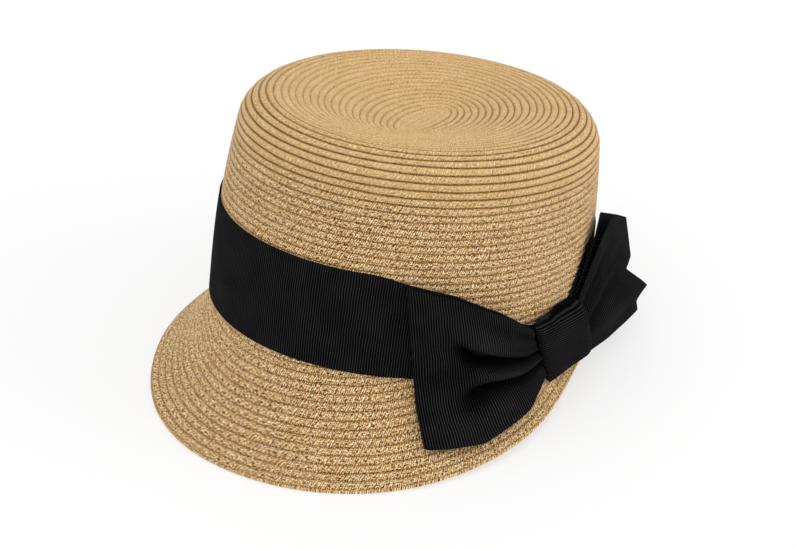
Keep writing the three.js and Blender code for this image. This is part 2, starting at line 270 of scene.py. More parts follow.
def crown_surface(angle, row):
    """Point of the crown for an angle and a row. Rows below the shoulder line go down the wall by
    the pitch. Above it the distance from the middle gives the arc of the edge or the dished top."""
    reach = SHOULDER_REACH + TOP_PITCH * row
    arc = np.clip((reach - top_width) / TOP_EDGE, 0, edge_turn)
    on_edge = CROWN_HEIGHT - TOP_EDGE + TOP_EDGE * np.cos(arc)
    height = np.where(row > 0, SHOULDER_LINE - ROW_PITCH * row, on_edge)
    side = wall_point(angle, height, 0 * angle)
    top = top_point(angle, np.clip(reach / top_width, SMALLEST_OVAL, 1))
    return leaned(np.where((reach < top_width)[..., None], top, side))


def surface_normal(surface, first, second, step=0.01):
    """Unit normal: the cross product of the surface's steps along its two parameters."""
    along_first = surface(first + step, second) - surface(first - step, second)
    along_second = surface(first, second + step) - surface(first, second - step)
    normal = np.cross(along_first, along_second)
    return normal / np.linalg.norm(normal, axis=-1, keepdims=True)


print("rows on the crown:", round(LAST_ROW - FIRST_ROW, 1))

# %% [markdown]
# Each sewn row is a low ridge: it rises steeply out of the groove where it tucks under its
# neighbour, and falls slowly to the next groove. Four rings of points a row are enough for that
# ridge, because the finer plait is left to the material. Two are enough for the inside.

# %% Ridge of a row
ROW_STEPS = np.array([0, 0.14, 0.45, 0.8])
ROW_HEIGHTS = np.array([-0.42, 0.1, 0.26, 0.08])
INNER_STEPS = np.array([0, 0.5])
INNER_DEPTH = 0.5
RING_ROOM = 0.02
JUST_PAST = 1e-9
STRAW_WALL = 1.7
SEAM_WANDER = 0.035
WANDER_WAVES = [
    {"waves": 3, "shift": 1.7, "weight": 1},
    {"waves": 7, "shift": 2.3, "weight": 0.7},
    {"waves": 13, "shift": 4.1, "weight": 0.5},
]


def ridge(row, depth=1.0):
    """Height of the braid over the smooth surface: a repeated profile along the row number."""
    steps = np.append(ROW_STEPS, 1)
    heights = np.append(ROW_HEIGHTS, ROW_HEIGHTS[0])
    return depth * np.interp(np.mod(row + JUST_PAST, 1), steps, heights)


def row_rings(first, last, steps):
    """Row numbers of the rings: each step of each whole row that lies clear of the two ends."""
    rings = (np.arange(math.floor(first), math.ceil(last))[:, None] + steps).ravel()
    inside = rings[(rings > first + RING_ROOM) & (rings < last - RING_ROOM)]
    return np.concatenate([[first], inside, [last]])


def hand_sewn(angle, row):
    """Small wander of a row's line, in rows: three sine waves round the crown that differ from
    row to row, as a seam guided by hand does."""
    whole = np.floor(row + 0.5)
    waves = [w["weight"] * np.sin(w["waves"] * angle + w["shift"] * whole) for w in WANDER_WAVES]
    return SEAM_WANDER * sum(waves)


print("a row rises", round(float(np.ptp(ROW_HEIGHTS)), 2), "mm")

# %% [markdown]
# A mesh goes into Blender as whole arrays: corner numbers for each face and a UV pair for each
# corner. The UV map is in millimetres along the braid and in rows across it, so the plait runs
# along every row at one scale, whatever the length of that round.

# %% Meshes from arrays
JOIN_WITHIN = 2e-6
NO_AREA_WITHIN = 1e-7


def make_piece(name, points, faces, uv, material, node, painted_shade_depth=None):
    """Object from points in the hat's frame (mm), four-cornered faces and a UV for each corner.
    Points that fall together are joined, and faces without area go. The depth of a point, in
    millimetres, is kept as an attribute that a material reads to paint shade in folds and a highlight on
    ridges."""
    mesh = bpy.data.meshes.new(name)
    mesh.vertices.add(len(points))
    mesh.vertices.foreach_set("co", ((points + HAT_ORIGIN) * MM).astype(np.float32).ravel())
    mesh.loops.add(faces.size)
    mesh.loops.foreach_set("vertex_index", faces.astype(np.int32).ravel())
    mesh.polygons.add(len(faces))
    mesh.polygons.foreach_set("loop_start", np.arange(0, faces.size, 4, dtype=np.int32))
    mesh.polygons.foreach_set("use_smooth", np.ones(len(faces), dtype=bool))
    layer = mesh.uv_layers.new(name="thread")
    layer.data.foreach_set("uv", uv.astype(np.float32).ravel())
    if painted_shade_depth is not None:
        depths = mesh.attributes.new("painted_shade_depth", "FLOAT", "POINT")
        depths.data.foreach_set("value", painted_shade_depth.astype(np.float32).ravel())
    mesh.update(calc_edges=True)
    joined = bmesh.new()
    joined.from_mesh(mesh)
    bmesh.ops.remove_doubles(joined, verts=joined.verts, dist=JOIN_WITHIN)
    bmesh.ops.dissolve_degenerate(joined, dist=NO_AREA_WITHIN, edges=joined.edges)
    joined.to_mesh(mesh)
    joined.free()
    mesh.materials.append(material)
    piece = bpy.data.objects.new(name, mesh)
    bpy.context.scene.collection.objects.link(piece)
    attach(piece, "root")
    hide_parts(node)
    triangles = sum(len(face.vertices) - 2 for face in mesh.polygons)
    print(name, "has", triangles, "triangles")
    return piece


def ring_faces(rings, around, closed=False):
    """Faces between neighbouring rings, as corner numbers: here, next, next above, above. Closed
    rings go on from the last one to the first."""
    number = np.arange(rings if closed else rings - 1)[:, None]
    ring = number * around
    above = (number + 1) % rings * around
    step = np.arange(around)[None, :]
    ahead = (step + 1) % around
    return np.stack([ring + step, ring + ahead, above + ahead, above + step], -1).reshape(-1, 4)


def ring_uv(lengths, rows):
    """UV for ring_faces: millimetres along the row's own round, the same on both its edges, and
    the ring's row number across."""
    low = np.broadcast_to(rows[:-1, None], lengths[:, :-1].shape)
    high = np.broadcast_to(rows[1:, None], lengths[:, :-1].shape)
    here, ahead = lengths[:, :-1], lengths[:, 1:]
    corners = [(here, low), (ahead, low), (ahead, high), (here, high)]
    return np.stack([np.stack(corner, -1) for corner in corners], -2).reshape(-1, 4, 2)


def round_lengths(surface, angles, rows):
    """Distance along each band of faces, measured on the middle line of the row that it is in."""
    middles = np.floor((rows[:-1] + rows[1:]) / 2) + 0.5
    closed = np.append(angles, angles[0] + 2 * np.pi)
    line = surface(closed[None, :] + 0 * middles[:, None], middles[:, None] + 0 * closed[None, :])
    steps = np.linalg.norm(np.diff(line, axis=1), axis=-1)
    return np.concatenate([np.zeros((len(middles), 1)), np.cumsum(steps, axis=1)], axis=1)


print("points join within", round(JOIN_WITHIN / MM, 4), "mm of each other")

# %% [markdown]
# ## Straw finish
# The braid is plaited from paper-like straw in a wheat colour. Its strands cross on a slant, so a
# row shows short diagonal strokes, a painted highlight (glint) where a strand lies on top, a dark
# dot between two glints, and a pinhole about every 5 mm where strands part. Each seam gets a brown
# line of painted shade, as in the groove where one row tucks under the next; on the dished top it
# is painted darker towards the wearer's left, where the rows' steps face away from the light. It
# is unbroken on the shoulder, where the rows fan apart, and beaded elsewhere. The shoulder and the
# dished top are plaited more evenly, so they look calmer, and they are painted a little paler, as
# where the light from above falls. Real strands are under 1 mm wide: the strokes are drawn 1 mm
# apart and the crossings 2.1 mm apart, just wide enough for this view.

# %% Straw material: where a point is in its row
# A MULTIPLY_ADD is its first value times its second one, plus its third. A MapRange lists its
# value, the range that it comes from and the range that it goes to.
STROKE_PITCH = 1.0
STROKE_LEAN = 1.5
HOLE_PITCH = 5.2
CROSSING_PITCH = 2.1
SEAM_HALF = 0.52
BRIM_BELOW_ROW = -60.0

straw, tree = new_material("plaited_wheat_straw")
thread = add(tree, "UVMap", uv_map="thread")
parts = add(tree, "SeparateXYZ", [thread]).node
along, rows_across = parts.outputs["X"], parts.outputs["Y"]
wander = add(tree, "TexNoise", {"Vector": thread, "Scale": 0.35, "Detail": 1.0})
across = add(tree, "Math", [wander, 0.07, rows_across], operation="MULTIPLY_ADD")
in_row = add(tree, "Math", [across], operation="FRACT")
row_number = add(tree, "Math", [across], operation="FLOOR")
row_seed = add(tree, "TexWhiteNoise", {"W": row_number}, noise_dimensions="1D")
row_start = add(tree, "Math", [row_seed, 9.0, along], operation="MULTIPLY_ADD")
shoulder_row = add(tree, "Math", [across, 0.5], operation="ADD")
from_shoulder = add(tree, "Math", [shoulder_row], operation="ABSOLUTE")
near_shoulder = [from_shoulder, 2.5, 7.0, 1.0, 0.0]
on_shoulder = add(tree, "MapRange", near_shoulder, interpolation_type="SMOOTHSTEP")
on_brim = add(tree, "Math", [across, BRIM_BELOW_ROW], operation="LESS_THAN")
on_top = add(tree, "MapRange", [across, -6.0, -3.0, 1.0, 0.0])
top_only = add(tree, "Math", [on_top, on_brim], operation="SUBTRACT")

# %% Straw material: seams, drawn as painted shade in their grooves
# The line of painted shade is darkest at the row's edge, in the groove. A noise along the row breaks it
# into beads, except where the shoulder keeps it firm, and each part of the hat has its own depth.
far_edge = add(tree, "Math", [1.0, in_row], operation="SUBTRACT")
near_edge = add(tree, "Math", [in_row, far_edge], operation="MINIMUM")
edge_mm = add(tree, "Math", [near_edge, ROW_PITCH], operation="MULTIPLY")
line_half = add(tree, "Math", [on_shoulder, 0.2, SEAM_HALF], operation="MULTIPLY_ADD")
seam_shade_line = add(tree, "MapRange", [edge_mm, 0.1, line_half, 1.0, 0.0], interpolation_type="SMOOTHSTEP")
bead_row = add(tree, "Math", [row_number, 3.7], operation="MULTIPLY")
bead_place = add(tree, "CombineXYZ", [row_start, bead_row, 0.0])
beads = add(tree, "TexNoise", {"Vector": bead_place, "Scale": 0.75, "Detail": 2.0, "Roughness": 0.7})
bead_depth = add(tree, "MapRange", [beads, 0.36, 0.58, 0.12, 1.0])
firm = add(tree, "Math", [on_shoulder, 0.75], operation="MULTIPLY")
bead_or_firm = add(tree, "Math", [bead_depth, firm], operation="MAXIMUM")
shoulder_depth = add(tree, "Math", [on_shoulder, 0.16, 0.78], operation="MULTIPLY_ADD")
brim_depth = add(tree, "Math", [on_brim, -0.1, shoulder_depth], operation="MULTIPLY_ADD")
seam_shade_depth = add(tree, "Math", [top_only, -0.1, brim_depth], operation="MULTIPLY_ADD")
beaded_line = add(tree, "Math", [seam_shade_line, bead_or_firm], operation="MULTIPLY")
seam_shade_here = add(tree, "Math", [beaded_line, seam_shade_depth], operation="MULTIPLY")

# %% Straw material: painted shade on the seams of the dished top, darker on the wearer's left, where the rows' steps face away from the light
on_hat = add(tree, "TexCoord").node.outputs["Object"]
from_left = add(tree, "SeparateXYZ", [on_hat]).node.outputs["X"]
side_shade = add(tree, "MapRange", [from_left, -0.03, 0.035, -0.45, 0.3])
top_seam_side_shade = add(tree, "Math", [side_shade, top_only, 1.0], operation="MULTIPLY_ADD")
at_start = add(tree, "Math", [across, BRAID_FROM], operation="LESS_THAN")
flat_start = add(tree, "Math", [at_start, on_brim], operation="SUBTRACT")
with_start = add(tree, "Math", [flat_start, -0.85, top_seam_side_shade], operation="MULTIPLY_ADD")
seam_groove_shade = add(tree, "Math", [seam_shade_here, with_start], operation="MULTIPLY", use_clamp=True)

# %% Straw material: strokes, flecks and slow patches
lean_mm = add(tree, "Math", [in_row, STROKE_LEAN, row_start], operation="MULTIPLY_ADD")
jitter_place = add(tree, "CombineXYZ", [row_start, row_number, 0.0])
jitter = add(tree, "TexNoise", {"Vector": jitter_place, "Scale": 0.7, "Detail": 1.0})
leaning = add(tree, "Math", [jitter, 1.6, lean_mm], operation="MULTIPLY_ADD")
stroke_turn = add(tree, "Math", [leaning, 2 * math.pi / STROKE_PITCH], operation="MULTIPLY")
strokes = add(tree, "Math", [stroke_turn], operation="SINE")
patch_row = add(tree, "Math", [across, 3.0], operation="MULTIPLY")
patch_place = add(tree, "CombineXYZ", [row_start, patch_row, 0.0])
patches = add(tree, "TexNoise", {"Vector": patch_place, "Scale": 0.45, "Detail": 2.0})
stroke_depth = add(tree, "MapRange", [patches, 0.35, 0.62, 0.1, 0.42])
calm_shoulder = add(tree, "MapRange", [from_shoulder, 1.5, 5.5, 0.55, 1.0])
calm_top = add(tree, "Math", [top_only, -0.45, calm_shoulder], operation="MULTIPLY_ADD")
calm_stroke = add(tree, "Math", [stroke_depth, calm_top], operation="MULTIPLY")
stroke_tone = add(tree, "Math", [strokes, calm_stroke, 0.54], operation="MULTIPLY_ADD")
fleck_row = add(tree, "Math", [across, 4.2], operation="MULTIPLY")
fleck_place = add(tree, "CombineXYZ", [leaning, fleck_row, 0.0])
flecks = add(tree, "TexNoise", {"Vector": fleck_place, "Scale": 1.35, "Detail": 2.0, "Roughness": 0.7})
fleck = add(tree, "Math", [flecks, 0.5], operation="SUBTRACT")
fleck_span = add(tree, "Math", [calm_top, 3.7], operation="MULTIPLY")
with_flecks = add(tree, "Math", [fleck, fleck_span, stroke_tone], operation="MULTIPLY_ADD")
slow_tone = add(tree, "TexNoise", {"Vector": patch_place, "Scale": 0.12, "Detail": 3.0})
slow = add(tree, "Math", [slow_tone, 0.5], operation="SUBTRACT")
plain_tone = add(tree, "Math", [slow, 0.28, with_flecks], operation="MULTIPLY_ADD")

# %% Straw material: a painted highlight (glint) on each crossing in the middle of a row, a dark dot between two of them
crossing_turn = add(tree, "Math", [leaning, 2 * math.pi / CROSSING_PITCH], operation="MULTIPLY")
crossing = add(tree, "Math", [crossing_turn], operation="SINE")
from_middle = add(tree, "Math", [in_row, 0.5], operation="SUBTRACT")
off_middle = add(tree, "Math", [from_middle], operation="ABSOLUTE")
glint_along = add(tree, "MapRange", [crossing, 0.35, 0.95, 0.0, 1.0])
glint_across = add(tree, "MapRange", [off_middle, 0.08, 0.26, 1.0, 0.0])
glint = add(tree, "Math", [glint_along, glint_across], operation="MULTIPLY")
dot_along = add(tree, "MapRange", [crossing, -0.9, -0.4, 1.0, 0.0])
dot_across = add(tree, "MapRange", [off_middle, 0.22, 0.36, 0.0, 1.0])
dot = add(tree, "Math", [dot_along, dot_across], operation="MULTIPLY")
glint_highlight_and_dot = add(tree, "Math", [dot, -0.9, glint], operation="MULTIPLY_ADD")
shown = add(tree, "MapRange", [patches, 0.3, 0.6, 0.12, 0.42])
shown_here = add(tree, "Math", [shown, calm_top], operation="MULTIPLY")
tone = add(tree, "Math", [glint_highlight_and_dot, shown_here, plain_tone], operation="MULTIPLY_ADD")

# %% Straw material: pinholes, one in each length of the row, some of them nearly shut
hole_turn = add(tree, "Math", [row_start, 1 / HOLE_PITCH], operation="MULTIPLY")
hole_cell = add(tree, "Math", [hole_turn], operation="FLOOR")
hole_part = add(tree, "Math", [hole_turn], operation="FRACT")
cell_place = add(tree, "CombineXYZ", [hole_cell, row_number, 0.0])
hole_seed = add(tree, "TexWhiteNoise", {"Vector": cell_place}, noise_dimensions="2D").node
hole_middle = add(tree, "MapRange", [hole_seed.outputs["Value"], 0.0, 1.0, 0.35, 0.65])
off_along = add(tree, "Math", [hole_part, hole_middle], operation="SUBTRACT")
hole_along = add(tree, "Math", [off_along, HOLE_PITCH * 0.5], operation="MULTIPLY")
off_across = add(tree, "Math", [in_row, 0.58], operation="SUBTRACT")
hole_across = add(tree, "Math", [off_across, ROW_PITCH], operation="MULTIPLY")
hole_offset = add(tree, "CombineXYZ", [hole_along, hole_across, 0.0])
hole_reach = add(tree, "VectorMath", [hole_offset], operation="LENGTH").node.outputs["Value"]
hole_round = add(tree, "MapRange", [hole_reach, 0.2, 0.62, 1.0, 0.0], interpolation_type="SMOOTHSTEP")
hole_chance = add(tree, "SeparateXYZ", [hole_seed.outputs["Color"]]).node.outputs["Y"]
hole_size = add(tree, "MapRange", [hole_chance, 0.05, 0.6, 0.4, 1.0])
hole_open = add(tree, "Math", [hole_round, hole_size], operation="MULTIPLY")
hole_calm = add(tree, "MapRange", [calm_shoulder, 0.55, 1.0, 0.25, 0.85])
hole_depth = add(tree, "Math", [top_only, -0.75, hole_calm], operation="MULTIPLY_ADD", use_clamp=True)
hole = add(tree, "Math", [hole_open, hole_depth], operation="MULTIPLY")

# %% Straw material: colour
# A colour Mix node takes its share at input 0 and its two colours at 6 and 7, and gives output 2.
STRAW_COLOURS = [
    (0.02, "#4c2800"),
    (0.3, "#9c6c2e"),
    (0.54, "#cc9f5e"),
    (0.77, "#ebc68c"),
    (0.98, "#ffeecb"),
]
ramp = add(tree, "ValToRGB", [tone]).node
for at, _ in STRAW_COLOURS[1:-1]:
    ramp.color_ramp.elements.new(at)
for element, (at, colour) in zip(ramp.color_ramp.elements, STRAW_COLOURS):
    element.position = at
    element.color = linear(colour)
blush_noise = add(tree, "TexNoise", {"Vector": patch_place, "Scale": 0.05, "Detail": 2.0})
blush = add(tree, "MapRange", [blush_noise, 0.45, 0.7, 0.0, 0.18])
# Painted light: the dished top and the shoulder are mixed paler, as where the light from above falls on
# them.
painted_light_top = add(tree, "Math", [top_only, 0.38], operation="MULTIPLY")
painted_light_shoulder = add(tree, "MapRange", [from_shoulder, 1.5, 6.0, 0.36, 0.0])
painted_top_light = add(tree, "Math", [painted_light_top, painted_light_shoulder], operation="MAXIMUM")
straw_colour = ramp.outputs["Color"]
# Painted shade: the seams' grooves are mixed towards dark brown.
for share, colour in [(blush, "#e0b487"), (painted_top_light, "#d2b788"), (hole, "#4a2a08"), (seam_groove_shade, "#4a2200")]:
    mix = add(tree, "Mix", {0: share, 6: straw_colour, 7: linear(colour)}, data_type="RGBA").node
    straw_colour = mix.outputs[2]

# %% Straw material: relief and shader
dents = add(tree, "Math", [hole, -1.0, tone], operation="MULTIPLY_ADD")
relief = add(tree, "Math", [seam_groove_shade, -0.8, dents], operation="MULTIPLY_ADD")
bump = add(tree, "Bump", {"Strength": 0.55, "Distance": 0.0005, "Height": relief})
shader = add(tree, "BsdfPrincipled", {
    "Base Color": straw_colour,
    "Roughness": 0.6,
    "IOR": 1.5,
    "Specular IOR Level": 0.12,
    "Specular Tint": linear("#e8bf80"),
    "Normal": bump,
})
add(tree, "OutputMaterial", {"Surface": shader})
print("straw material has", len(tree.nodes), "nodes")

# %% [markdown]
# ## Crown
# The crown's shell is drawn as rings: down the outside with every ridge, round its lower edge
# behind the band, and back up the inside with gentler ridges. The first ring of each side is left
# open here and filled at the end, which closes the start of the braid in the middle of the top,
# where its first turn is folded flat and shows no seam.

# %% Crown piece
CROWN_AROUND = 300


def braid_rings(surface, angles, rows, lift):
    """Rings of points: the surface with each row's small wander, moved along its normal. The
    first and the last ring don't wander, because other pieces meet them."""
    angle = angles[None, :] + 0 * rows[:, None]
    free = ((rows > rows[0]) & (rows < rows[-1]))[:, None]
    row = rows[:, None] + hand_sewn(angle, rows[:, None] + 0 * angle) * free
    return surface(angle, row) + surface_normal(surface, angle, row) * lift[:, None, None]


angles = np.arange(CROWN_AROUND) * 2 * np.pi / CROWN_AROUND
outer_rows = row_rings(FIRST_ROW, LAST_ROW, ROW_STEPS)
inner_rows = row_rings(FIRST_ROW, LAST_ROW, INNER_STEPS)
sewn = outer_rows > BRAID_FROM
outside = braid_rings(crown_surface, angles, outer_rows, -ridge(outer_rows) * sewn)
inside = braid_rings(crown_surface, angles, inner_rows, STRAW_WALL - ridge(inner_rows, INNER_DEPTH))
points = np.concatenate([outside, inside[::-1]]).reshape(-1, 3)
rows = np.concatenate([outer_rows, inner_rows[::-1]])
faces = ring_faces(len(rows), CROWN_AROUND)[:, ::-1]
uv = ring_uv(round_lengths(crown_surface, angles, rows), rows)[:, ::-1]
crown = make_piece("straw_crown", points, faces, uv, straw, "straw_body")

# %% [markdown]
# ## Brim
# The rows of this brim run parallel to its rim, and the inner ones vanish under the band where
# the brim is short. So a ring is a distance from the rim, measured up the brim's curve and a
# little way up the crown's wall, and it stops at the crown's edge, where its points fall
# together and are joined.

# %% Brim surface
FRONT_REACH = 34
RIM_LIFT = 6
STEEP_START = math.radians(22)
FLAT_END = math.radians(25)
STEEPEST = math.radians(86)
PULL = 0.36
FLAT_RIM = math.radians(15)
# Reach past the crown at every 30 degrees from the front, as a share of the reach at the front
REACH_SHARES = np.array([1.01, 0.867, 0.576, 0.19, 0.2, 0.41, 0.5, 0.5, 0.459, 0.43, 0.777, 1.03])


def brim_reach(angle):
    """Reach past the crown: a closed Catmull-Rom curve through the shares, times the front reach."""
    place = np.mod(angle, 2 * np.pi) / (2 * np.pi) * len(REACH_SHARES)
    first = np.floor(place).astype(int)
    part = place - first
    before, low, high, after = (REACH_SHARES[(first + step) % len(REACH_SHARES)] for step in (-1, 0, 1, 2))
    bend = (2 * before - 5 * low + 4 * high - after) * part**2
    twist = (3 * low - before - 3 * high + after) * part**3
    return FRONT_REACH * (2 * low + (high - before) * part + bend + twist) / 2


def rim_height(angle):
    """Height of the rim: flat at the front and back, and raised by a squared sine at the sides."""
    turn = np.abs(np.mod(angle + np.pi, 2 * np.pi) - np.pi)
    share = np.clip((turn - FLAT_RIM) / (np.pi - 2 * FLAT_RIM), 0, 1)
    return RIM_LIFT * np.sin(np.pi * share) ** 2


def brim_point(angle, share):
    """Point of the brim: a cubic Bezier from the crown's foot to the rim, steeper than straight
    at its start and flatter at its end."""
    base = leaned(wall_point(angle, 0 * angle, 0 * angle))
    outward = oval_normal(angle, 0 * angle)
    reach = brim_reach(angle)
    rim = base + outward * reach[..., None]
    rim[..., 2] = rim_height(angle)
    drop = base[..., 2] - rim[..., 2]
    slope = np.arctan2(drop, reach)
    pull = (PULL * np.hypot(drop, reach))[..., None]

    def direction(tilt):
        level = outward * np.cos(tilt)[..., None]
        return level - np.array([0, 0, 1]) * np.sin(tilt)[..., None]

    first = base + direction(np.minimum(slope + STEEP_START, STEEPEST)) * pull
    second = rim - direction(slope - FLAT_END) * pull
    t = np.asarray(share)[..., None]
    return base * (1 - t)**3 + 3 * first * t * (1 - t)**2 + 3 * second * t**2 * (1 - t) + rim * t**3


print("brim's reach in front", FRONT_REACH, "mm, its rim's lift at the sides", RIM_LIFT, "mm")

# %% Brim rows, counted up from the rim
BRIM_PITCH = 3.9
WALL_PART = 30
up_brim = 1 - np.linspace(0, 1, 41)
up_wall = np.linspace(0, WALL_PART, 16)[1:]


def brim_path(angle):
    """Points up from the rim to the crown's foot and on up its wall, and their distances from the
    rim, as running sums of their steps."""
    on_angle = angle[..., None] + 0 * up_brim
    brim_part = brim_point(on_angle, up_brim + 0 * on_angle)
    on_wall = angle[..., None] + 0 * up_wall
    wall_part = leaned(wall_point(on_wall, up_wall + 0 * on_wall, 0 * on_wall))
    path = np.concatenate([brim_part, wall_part], axis=-2)
    steps = np.linalg.norm(np.diff(path, axis=-2), axis=-1)
    return path, np.concatenate([np.zeros((*angle.shape, 1)), np.cumsum(steps, axis=-1)], axis=-1)


def crown_edge(angle):
    """Distance from the rim to the height where the crown piece ends."""
    _, distance = brim_path(angle)
    return distance[..., len(up_brim) - 1] + CROWN_END


def brim_surface(angle, row):
    """Point at a number of rows from the rim: the path's points on both sides of that distance,
    mixed in proportion."""
    path, distance = brim_path(angle)
    wanted = (BRIM_PITCH * row)[..., None]
    upper = np.clip((distance < wanted).sum(-1), 1, distance.shape[-1] - 1)[..., None]
    low = np.take_along_axis(distance, upper - 1, -1)
    high = np.take_along_axis(distance, upper, -1)
    part = (wanted - low) / (high - low)
    before = np.take_along_axis(path, (upper - 1)[..., None], -2)[..., 0, :]
    after = np.take_along_axis(path, upper[..., None], -2)[..., 0, :]
    return before + (after - before) * part


BRIM_AROUND = 420
angles = np.arange(BRIM_AROUND) * 2 * np.pi / BRIM_AROUND
last_rows = crown_edge(angles) / BRIM_PITCH
front_rows, back_rows = last_rows[[0, BRIM_AROUND // 2]].round(1)
print("brim rows at the front", front_rows, "and at the back", back_rows)

# %% [markdown]
# The rim is the braid's last round, turned under: its edge is a small roll, and the hat rests on
# the underside of that roll.

# %% Brim piece
BRIM_ROWS_FROM = 100
WANDER_FROM = 40
LIFT_FADE = 3
RIM_START = 0.12
UNDER_START = 0.5
PAST_EDGE = 0.3
BRIM_STEPS = np.array([0, 0.12, 0.3, 0.6, 0.85])
LIP_ROW = -0.3
LIP_OUT = [0.35, 0.4, 0.0, -0.9, -1.9]
LIP_UP = [-0.5, -1.2, -1.9, -2.2, -2.05]


def cut_rings(rows, lift, wall=0):
    """Rings of the brim, each stopped at the crown's edge, lifted off the brim along its normal
    and lowered by the wall. A stopped point has no lift, so it falls together with its neighbours."""
    angle = angles[None, :] + 0 * rows[:, None]
    wander = hand_sewn(angle, rows[:, None] + WANDER_FROM + 0 * angle) * (rows > rows[0])[:, None]
    row = np.minimum(rows[:, None] + wander, last_rows[None, :])
    free = np.clip((last_rows[None, :] - row) * LIFT_FADE, 0, 1)
    out = surface_normal(brim_surface, angle, row)
    return brim_surface(angle, row) + out * (lift[:, None] * free - wall)[..., None]


last_row = float(last_rows.max()) + PAST_EDGE
outer_rows = row_rings(RIM_START, last_row, BRIM_STEPS)
inner_rows = row_rings(UNDER_START, last_row, INNER_STEPS)
outside = cut_rings(outer_rows, ridge(outer_rows))
inside = cut_rings(inner_rows, ridge(inner_rows, INNER_DEPTH), STRAW_WALL)
rim = brim_point(angles, 1 + 0 * angles)
level = oval_normal(angles, 0 * angles)
roll = np.stack([rim + level * out + np.array([0, 0, up]) for out, up in zip(LIP_OUT, LIP_UP)])
points = np.concatenate([outside[::-1], roll, inside])
rows = np.concatenate([outer_rows[::-1], np.full(len(roll), LIP_ROW), inner_rows])
faces = ring_faces(len(points), BRIM_AROUND, closed=True)
lengths = round_lengths(brim_surface, angles, np.maximum(rows, 0))
uv = ring_uv(lengths, -BRIM_ROWS_FROM - rows)
uv = np.concatenate([uv, np.full((BRIM_AROUND, 4, 2), 0.5)])
brim = make_piece("straw_brim", points.reshape(-1, 3), faces, uv, straw, "straw_body")

# %% [markdown]
# ## Ribbon finish
# The band and the bow are black grosgrain: a matte ribbon whose thick filling threads stand as
# fine ribs across its width, with a firm woven edge. Real ribs are about 0.6 mm apart; here they
# are drawn 1.2 mm apart so that this view can show them. The bow's deep folds get painted shade,
# nearly pure black, and its ridges a painted highlight, a little paler: the depth of each point
# under the smooth ribbon moves its tone.

# %% Ribbon material
RIB_PITCH = 1.2

ribbon, tree = new_material("black_grosgrain_ribbon")
thread = add(tree, "UVMap", uv_map="thread")
parts = add(tree, "SeparateXYZ", [thread]).node
bend = add(tree, "TexNoise", {"Vector": thread, "Scale": 0.08, "Detail": 1.0})
along = add(tree, "Math", [bend, 1.5, parts.outputs["X"]], operation="MULTIPLY_ADD")
turns = add(tree, "Math", [along, 2 * math.pi / RIB_PITCH], operation="MULTIPLY")
ribs = add(tree, "Math", [turns], operation="SINE")
fibre = add(tree, "TexNoise", {"Vector": thread, "Scale": 2.2, "Detail": 2.0, "Roughness": 0.7})
cloudy = add(tree, "TexNoise", {"Vector": thread, "Scale": 0.06, "Detail": 2.0})
rib_tone = add(tree, "Math", [ribs, 0.36, fibre], operation="MULTIPLY_ADD")
cloth_tone = add(tree, "Math", [cloudy, 0.35, rib_tone], operation="MULTIPLY_ADD")
# Painted shade and painted highlight: a point's depth under the smooth ribbon darkens the bow's deep folds
# and the band's tuck, and lightens the bow's ridges.
painted_shade_depth = add(tree, "Attribute", attribute_name="painted_shade_depth").node.outputs["Fac"]
painted_shade_and_highlight = add(tree, "MapRange", [painted_shade_depth, -3.0, 5.5, -0.24, 0.62])
tone = add(tree, "Math", [cloth_tone, painted_shade_and_highlight], operation="SUBTRACT")
RIBBON_COLOURS = [(0.25, "#020202"), (0.6, "#0d0d0e"), (1.0, "#2b2b2c")]
ramp = add(tree, "ValToRGB", [tone]).node
ramp.color_ramp.elements.new(RIBBON_COLOURS[1][0])
for element, (at, colour) in zip(ramp.color_ramp.elements, RIBBON_COLOURS):
    element.position = at
    element.color = linear(colour)
rib_height = add(tree, "Math", [fibre, 0.5, ribs], operation="MULTIPLY_ADD")
bump = add(tree, "Bump", {"Strength": 0.5, "Distance": 0.0003, "Height": rib_height})
shader = add(tree, "BsdfPrincipled", {
    "Base Color": ramp.outputs["Color"],
    "Roughness": 0.9,
    "IOR": 1.4,
    "Specular IOR Level": 0.03,
    "Normal": bump,
})
add(tree, "OutputMaterial", {"Surface": shader})
print("ribbon material has", len(tree.nodes), "nodes")

# %% [markdown]
# ## Band
# The band is 48 mm wide ribbon, laid flat round the crown's foot. On the wearer's left it is
# gathered under the knot, so its upper edge drops there, and beside the bow a small tuck crosses
# it, with a thin line of painted shade along its foot. It is one sheet with two faces, half a
# millimetre thick.

# %% Band piece
BAND_WIDTH = 48
BAND_FOOT = 0.5
RIBBON_WALL = 0.5
CLEARANCE = 0.3
CAD_RIBBON = 1
BAND_STANDOFF = 0.55
BAND_ANGLES = np.radians([0, 22, 37, 47, 60, 70, 80, 87, 93, 99, 360])
BAND_SHARES = np.array([1, 1, 0.88, 0.76, 0.57, 0.42, 0.38, 0.48, 0.8, 1, 1])
EDGE_BLEND = 0.05
TUCK_ANGLE = math.radians(44)
TUCK_SPREAD = 0.09
TUCK_SHARE = 0.56
TUCK_EDGE = 0.02
TUCK_STEP = 0.45
TUCK_PAINTED_SHADE = 7
BAND_AROUND = 288
BAND_ACROSS = 49


def band_top(turn):
    """Height of the upper edge: the table, mixed in straight lines and then averaged over a short
    width, times the ribbon's width."""
    nearby = turn[..., None] + np.linspace(-EDGE_BLEND, EDGE_BLEND, 9)
    return BAND_WIDTH * np.interp(nearby, BAND_ANGLES, BAND_SHARES).mean(-1)


def along_tuck(turn):
    """How much of the tuck there is at an angle: 1 in its middle, and a steep bell round it."""
    return np.exp(-(((turn - TUCK_ANGLE) / TUCK_SPREAD) ** 4))


